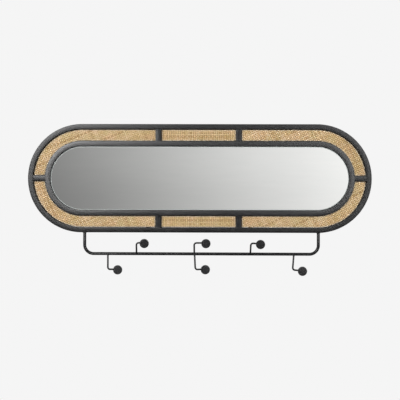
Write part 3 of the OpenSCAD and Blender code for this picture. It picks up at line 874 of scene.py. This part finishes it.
def make_knob():
    """A disc with its back at Z = 0, and a collar of weld round the wire behind it."""
    flat_r, face_z = KNOB_R - KNOB_ROUND, KNOB_T - KNOB_CROWN
    turns = [math.radians(18 * i) for i in range(6)]
    section = [(0, 0), (flat_r, 0)]
    section += [(flat_r + KNOB_ROUND * math.sin(a), KNOB_ROUND * (1 - math.cos(a))) for a in turns[1:]]
    section += [(flat_r + KNOB_ROUND * math.cos(a), face_z - KNOB_ROUND + KNOB_ROUND * math.sin(a))
                for a in turns]
    section += [(share * flat_r, face_z + KNOB_CROWN * (1 - share ** 2)) for share in (0.75, 0.5, 0.25, 0)]
    bm = spin_section(section, 64)
    collar = Matrix.Translation((0, 0, -COLLAR_SINK))
    weld_ring(bm, collar, WIRE_D / 2 + COLLAR_OUT, COLLAR_BEAD, COLLAR_RIPPLES)
    return bm


print("a knob is", 2 * KNOB_R, "mm across and", KNOB_T, "mm thick")

# %% Bend the hooks and hang them
HOOK_BEND, HOOK_OUT, HOOK_REACH = 6.5, 25, 28
WELD_SINK, WIRE_START, SPLAY, KNOB_BITE = 0.4, 0.3, 2, 1
WIRE_Z = RAIL_Z + RAIL_D / 2 + WIRE_D / 2 - WELD_SINK
BEAD_SIZE, BEAD_ALONG = (1.25, 2.5, 1.1), 1.9
BEAD_OUT, BEAD_Z = WIRE_D / 2 - 0.25, 0.5 - WIRE_D / 2
LUMP = 0.06
# Name, up or down, height, place as a share of half the rail, reach as a share, lean in degrees
HOOKS = (
    ("upper_left", 1, 32, -0.552, 0.91, -1),
    ("upper_middle", 1, 32, -0.059, 1.22, -1),
    ("upper_right", 1, 32, 0.418, 0.91, 3),
    ("lower_left", -1, 45, -0.797, 1.15, -0.5),
    ("lower_middle", -1, 45, -0.057, 1.04, -3),
    ("lower_right", -1, 45, 0.788, 0.87, 4.8),
)


def add_bead(bm, place, chance):
    """A lump of weld, flattened and a little uneven."""
    lump = bmesh.new()
    shape = Matrix.Diagonal((*BEAD_SIZE, 1))
    bmesh.ops.create_uvsphere(lump, u_segments=12, v_segments=8, radius=1, matrix=shape)
    for vert in lump.verts:
        vert.co *= 1 + chance.uniform(-LUMP, LUMP)
    add_copy(bm, lump, Matrix.Translation(place))
    lump.free()


chance = random.Random(11)
for name, up, height, place_share, reach_share, lean in HOOKS:
    reach = HOOK_REACH * reach_share
    on_rail = (
        Matrix.Translation((RAIL_SHIFT + place_share * RAIL_W / 2, RAIL_Y, WIRE_Z))
        @ Matrix.Rotation(math.radians(-lean), 4, "Z")
        @ Matrix.Rotation(math.radians(up * SPLAY), 4, "X")
    )
    end = Vector((reach, up * height, HOOK_OUT - KNOB_T / 2))
    in_knob = end + Vector((0, 0, KNOB_BITE))
    corners = [(0, up * WIRE_START, 0), (0, up * height, 0), (reach, up * height, 0), in_knob]
    wire = bend_rod(corners, HOOK_BEND, WIRE_D / 2)
    for side in (-1, 1):
        add_bead(wire, (side * BEAD_OUT, up * BEAD_ALONG, BEAD_Z), chance)
    bmesh.ops.transform(wire, matrix=on_rail, verts=wire.verts)
    hang("wire_" + name, wire, [powder_coat], ["hook_wire_" + name], crease=50)
    knob = make_knob()
    bmesh.ops.transform(knob, matrix=on_rail @ Matrix.Translation(end), verts=knob.verts)
    hang("knob_" + name, knob, [knob_coat], ["hook_knob_" + name])
print("hooks:", len(HOOKS), "wires, each with a knob")

# %% [markdown]
# ## Zinc, rubber and foam
# The turn buttons and the hangers are pressed from zinc-plated sheet: a pale grey metal, with the faint
# bluish and yellowish clouds of the plating bath and a satin grain. Their CAD solids are right, and only
# need the soft edges that pressing leaves, so they keep their meshes and get two modifiers. The bumpers
# are moulded rubber and the tape is closed-cell foam, drawn with cells a little larger than real ones.

# %% Small materials
zinc, tree, place = start_material("zinc_plated_steel")
bath = add_node(tree, "TexNoise", {"Vector": place, "Scale": per_metre(9), "Detail": 4.0})
plating = add_node(tree, "ValToRGB", {"Fac": bath}, stops={0.3: "#b3b7bc", 0.7: "#d0cfc6"})
spangle = add_node(tree, "TexVoronoi", {"Vector": place, "Scale": per_metre(1.4)})
satin = add_node(tree, "MapRange", {"Value": spangle, "To Min": 0.28, "To Max": 0.45})
zinc_bump = add_node(tree, "Bump", {"Strength": 0.15, "Distance": 0.00003, "Height": spangle})
finish_material(tree, {"Metallic": 1.0, "Base Color": plating, "Roughness": satin, "Normal": zinc_bump})

rubber, tree, place = start_material("moulded_rubber")
dust = add_node(tree, "TexNoise", {"Vector": place, "Scale": per_metre(2), "Detail": 4.0})
rubber_tone = add_node(tree, "ValToRGB", {"Fac": dust}, stops={0: "#202021", 1: "#39383a"})
rubber_gloss = add_node(tree, "MapRange", {"Value": dust, "To Min": 0.55, "To Max": 0.8})
finish_material(tree, {"Specular IOR Level": 0.35, "Base Color": rubber_tone, "Roughness": rubber_gloss})

foam, tree, place = start_material("closed_cell_foam_tape")
cells = add_node(tree, "TexVoronoi", {"Vector": place, "Scale": per_metre(0.6)})
foam_tone = add_node(tree, "ValToRGB", {"Fac": cells}, stops={0: "#efede6", 1: "#cfccc2"})
foam_bump = add_node(tree, "Bump", {"Strength": 0.5, "Distance": 0.0002, "Height": cells})
finish_material(tree, {
    "Roughness": 0.85, "Specular IOR Level": 0.2, "Base Color": foam_tone, "Normal": foam_bump})
print("made", zinc.name, rubber.name, "and", foam.name)

# %% Finish the CAD solids that stay
PRESSED_EDGE, FOAM_EDGE, EDGE_ANGLE = 0.25, 0.15, 40


def soften(node, material, width_mm):
    """Merges a CAD solid's triangles in a modifier, rounds its edges and gives it a finish."""
    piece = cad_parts[node]
    piece.data.materials.clear()
    piece.data.materials.append(material)
    merge = piece.modifiers.new("merge", "WELD")
    merge.merge_threshold = MERGE / 1000
    bevel = piece.modifiers.new("soft_edges", "BEVEL")
    bevel.width, bevel.segments = width_mm / 1000, 2
    bevel.limit_method, bevel.angle_limit = "ANGLE", math.radians(EDGE_ANGLE)


turn_buttons = [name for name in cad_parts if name.startswith("turn_button_") and "screws" not in name]
pressed_parts = turn_buttons + ["hanger_left", "hanger_right"]
for node in pressed_parts:
    soften(node, zinc, PRESSED_EDGE)
soften("foam_tape", foam, FOAM_EDGE)
print("softened", pressed_parts, "and foam_tape")

# %% [markdown]
# ## Screws and bumpers
# Pan-head screws have a low domed head with a cross recess. One head is spun from half of its section, a
# cross is cut into it, and copies go to every screw's place. The bumpers are spun too, with a domed face
# that rests on the wall.

# %% Model the screws
def make_screw(head_d, head_t, shank_d, length, recess):
    """A screw with the top of its head at Z = 0 and its shank up along Z."""
    head_r, shank_r = head_d / 2, shank_d / 2
    dome = ((0, 0), (0.45, 0.03), (0.75, 0.16), (0.92, 0.4), (1, 0.75), (1, 1))
    shank = [(shank_r, head_t), (shank_r, length - shank_r), (0.3 * shank_r, length), (0, length)]
    bm = spin_section([(head_r * out, head_t * up) for out, up in dome] + shank, 32)
    cross = bmesh.new()
    bar = Matrix.Diagonal((recess, 0.22 * recess, head_t, 1))
    for turn in (0, QUARTER):
        bmesh.ops.create_cube(cross, size=1, matrix=Matrix.Rotation(turn, 4, "Z") @ bar)
    # The two bars of the cross overlap, which the exact solver allows.
    return cut_shape(bm, cross, "DIFFERENCE", "EXACT")


def hang_screws(name, node, screw, places, z):
    """Puts a copy of a screw at each place, turned as the screwdriver left it."""
    bm = bmesh.new()
    for x, y, turn in places:
        add_copy(bm, screw, Matrix.Translation((x, y, z)) @ Matrix.Rotation(turn, 4, "Z"))
    screw.free()
    hang(name, bm, [zinc], [node])


BAR_MID_R = OUTER_R - HOOP_W / 2
BUTTON_X = 150
HANGER_X, EAR_X = 230, 24.5
SCREW_TURN = 0.7
pivots = [(side * BUTTON_X, up * BAR_MID_R) for side in (-1, 1) for up in (-1, 1)]
pivots += [(side * (END_X + BAR_MID_R), 0) for side in (-1, 1)]
pivots = [(x, y, SCREW_TURN * i) for i, (x, y) in enumerate(pivots)]
low, high = bench_box("turn_button_screws")
pivot_screw = make_screw(head_d=7.5, head_t=2.2, shank_d=4, length=high.z - low.z, recess=4.2)
hang_screws("pivot_screws_pan_head", "turn_button_screws", pivot_screw, pivots, low.z)

ears = [side * HANGER_X + ear * EAR_X for side in (-1, 1) for ear in (-1, 1)]
low, high = bench_box("hanger_screws")
ear_screw = make_screw(head_d=6.2, head_t=1.6, shank_d=3.2, length=high.z - low.z, recess=3.4)
hang_screws("ear_screws_pan_head", "hanger_screws", ear_screw, [(x, BAR_MID_R, x) for x in ears], low.z)
print("screws:", len(pivots), "on turn buttons,", len(ears), "on hangers")

# %% Model the bumpers
BUMPER_X = 300
low, high = bench_box("wall_bumpers")
bumper_r, bumper_h = (high.y - low.y) / 2, high.z - low.z
pad = spin_section([
    (0, 0), (0.5 * bumper_r, 0.1), (0.78 * bumper_r, 0.5), (0.93 * bumper_r, 1.3), (bumper_r, 2.6),
    (bumper_r, bumper_h - 0.3), (bumper_r - 0.3, bumper_h), (0, bumper_h)], 40)
bm = bmesh.new()
for side in (-1, 1):
    add_copy(bm, pad, Matrix.Translation((side * BUMPER_X, -BAR_MID_R, low.z)))
pad.free()
hang("bumpers_domed", bm, [rubber], ["wall_bumpers"])
print("bumpers: 2,", round(2 * bumper_r, 1), "mm across")

# %% [markdown]
# ## The studio
# The photograph has an even pale ground with no floor or wall in sight. The world gives that ground to the
# camera, and an even light to everything else. A pale floor lies well below, small enough to stay out of
# the main view, and fades out towards its rim.

# %% World
GROUND, AMBIENT = "#f5f5f5", 0.33
world = bpy.data.worlds.new("studio")
bpy.context.scene.world = world
world.use_nodes = True
tree = world.node_tree
tree.nodes.clear()
path = add_node(tree, "LightPath")
seen_or_shiny = add_node(tree, "Math", {
    0: path.outputs["Is Camera Ray"], 1: path.outputs["Is Glossy Ray"]}, {"operation": "MAXIMUM"})
shows_ground = add_node(tree, "Math", {
    0: seen_or_shiny, 1: path.outputs["Is Transmission Ray"]}, {"operation": "MAXIMUM"})
light_level = add_node(
    tree, "Mix", {"Factor": shows_ground, "A": AMBIENT, "B": 1.0}, {"data_type": "FLOAT"})
sky = add_node(tree, "Background", {"Color": linear(GROUND), "Strength": light_level})
add_node(tree, "OutputWorld", {"Surface": sky})
print("the ground is", GROUND)

# %% Floor
FLOOR_R, FLOOR_Z = 1.9, -1.55
FADE_START, FADE_END = 1.62, 2.4
floor_paint, tree, place = start_material("pale_studio_floor")
radius = add_node(tree, "VectorMath", {0: place}, {"operation": "LENGTH"})
fade = add_node(tree, "MapRange", {
    "Value": radius.outputs["Value"], "From Min": FADE_START, "From Max": FADE_END}, SMOOTH)
paint = add_node(tree, "BsdfPrincipled", {"Roughness": 0.7, "Base Color": linear("#e9e9e8")})
clear = add_node(tree, "BsdfTransparent")
mixed = add_node(tree, "MixShader", {0: fade, 1: paint, 2: clear})
add_node(tree, "OutputMaterial", {"Surface": mixed})

bm = bmesh.new()
bmesh.ops.create_circle(
    bm, cap_ends=True, segments=96, radius=FLOOR_R, matrix=Matrix.Translation((0, 0, FLOOR_Z)))
floor = add_object("floor", bm, [floor_paint])
print("floor:", FLOOR_R, "m in radius,", -FLOOR_Z, "m below the keyholes")

# %% [markdown]
# ## The reflection card
# A round card stands about the scene, for the mirror and the coat to reflect: grey at its left and nearly
# white at its right, as the mirror in the photograph shows. Two narrow bright stripes beside what the
# mirror sees, and a bright crown above it, give the black bars their highlights. The part behind the
# mirror is dim, for views of the back. Only reflections see the card.

# %% Rows of tone
card_paper = bpy.data.materials.new("graded_card")
card_paper.use_nodes = True
tree = card_paper.node_tree
tree.nodes.clear()
place = add_node(tree, "TexCoord").outputs["Object"]
axes = add_node(tree, "SeparateXYZ", {"Vector": place})
GLOW_TOP, CARD_REACH = 40.0, 2.4


def tone_row(*stops):
    """The card's brightness along X: pairs of X in metres and brightness."""
    across = add_node(tree, "MapRange", {
        "Value": axes.outputs["X"], "From Min": -CARD_REACH, "From Max": CARD_REACH})
    return add_node(tree, "ValToRGB", {"Fac": across}, stops={
        0.5 + x / (2 * CARD_REACH): 3 * (tone / GLOW_TOP,) + (1,) for x, tone in stops})


def even(tone):
    """A row of one brightness."""
    return tone_row((-1, tone), (1, tone))


def blend(lower, upper, axis, start, end):
    """A soft change from one tone to another between two places along an axis."""
    amount = add_node(tree, "MapRange", {
        "Value": axes.outputs[axis], "From Min": start, "From Max": end}, SMOOTH)
    return add_node(tree, "Mix", {"Factor": amount, MIX_A: lower, MIX_B: upper}, MIX).outputs[MIXED]


seen_high = tone_row(
    (-2.05, 0.1), (-1.72, 30.0), (-1.62, 0.23), (-0.97, 0.39), (-0.5, 0.515), (-0.04, 0.655), (0.52, 0.825),
    (0.9, 0.92), (1.35, 1.07), (1.62, 1.12), (1.72, 24.0), (2.05, 0.1))
seen_low = tone_row(
    (-2.05, 0.1), (-1.72, 12.0), (-1.62, 0.2), (-0.97, 0.315), (-0.5, 0.43), (-0.04, 0.555), (0.52, 0.725),
    (0.9, 0.84), (1.35, 1.01), (1.62, 1.06), (1.72, 17.0), (2.05, 0.1))
crown = tone_row(
    (-2.3, 0.1), (-1.95, 12.0), (-1.6, 25.0), (-1.2, 16.0), (-0.8, 1.4), (-0.3, 0.1), (0.6, 0.1),
    (1.3, 3.5), (1.6, 9.0), (2.3, 0.1))
print("rows of tone over", 2 * CARD_REACH, "m, up to", GLOW_TOP)

# %% Blend the rows and stand the card up
CARD_R, CARD_LOW, CARD_HIGH = 3.8, -1.5, 3.2
band = blend(seen_low, seen_high, "Z", -0.2, 0.3)
below = blend(even(0.1), even(0.02), "Z", -0.78, -0.58)
front = blend(below, band, "Z", -0.5, -0.28)
front = blend(front, crown, "Z", 0.4, 0.54)
front = blend(front, even(0.3), "Z", 1.3, 2.0)
level = blend(front, even(0.3), "Y", -3.0, -1.6)
behind = blend(even(0.4), tone_row((-1, 1.2), (0, 0.8), (1, 1.4)), "Z", -0.8, 1.0)
level = blend(level, behind, "Y", 0.8, 2.6)
lit = add_node(tree, "VectorMath", {0: level, "Scale": GLOW_TOP}, {"operation": "SCALE"})
glow = add_node(tree, "Emission", {"Color": lit})
add_node(tree, "OutputMaterial", {"Surface": glow})

bm = bmesh.new()
bmesh.ops.create_cone(
    bm, cap_ends=True, segments=128, radius1=CARD_R, radius2=CARD_R, depth=CARD_HIGH - CARD_LOW,
    matrix=Matrix.Translation((0, 0, (CARD_LOW + CARD_HIGH) / 2)))
card = add_object("reflection_card", bm, [card_paper])
card.visible_camera = card.visible_diffuse = card.visible_shadow = card.visible_transmission = False
print("card:", CARD_R, "m away")

# %% [markdown]
# ## Lamps
# Three soft lamps in front light the cane from the left, the right and above, and two behind light the
# back for views from there. They don't show in gloss, since the card gives all that the gloss shows.

# %% Lamps
# Name, place, aim, size in metres, watts
SOFTBOXES = (
    ("left", (-1.85, -2.6, 0.65), (-0.2, 0, -0.2), (0.8, 1.3), 30),
    ("right", (2.1, -2.5, 0.3), (0.2, 0, -0.2), (0.7, 1.3), 23),
    ("top", (-0.2, -2.6, 1.1), (0, 0, -0.2), (1.8, 0.6), 30),
    ("behind_left", (-1.6, 2.5, 0.5), (-0.15, 0, -0.15), (0.9, 1.2), 26),
    ("behind_right", (1.8, 2.4, 0.9), (0.15, 0, -0.15), (0.9, 1.2), 34),
)
for name, place, aim, size, watts in SOFTBOXES:
    lamp = bpy.data.lights.new("softbox_" + name, "AREA")
    lamp.shape, lamp.size, lamp.size_y, lamp.energy = "RECTANGLE", *size, watts
    softbox = bpy.data.objects.new("softbox_" + name, lamp)
    bpy.context.scene.collection.objects.link(softbox)
    way = Vector(aim) - Vector(place)
    softbox.matrix_world = Matrix.Translation(place) @ way.to_track_quat("-Z", "Y").to_matrix().to_4x4()
    softbox.visible_glossy = False
print("lamps:", len(SOFTBOXES), "softboxes")
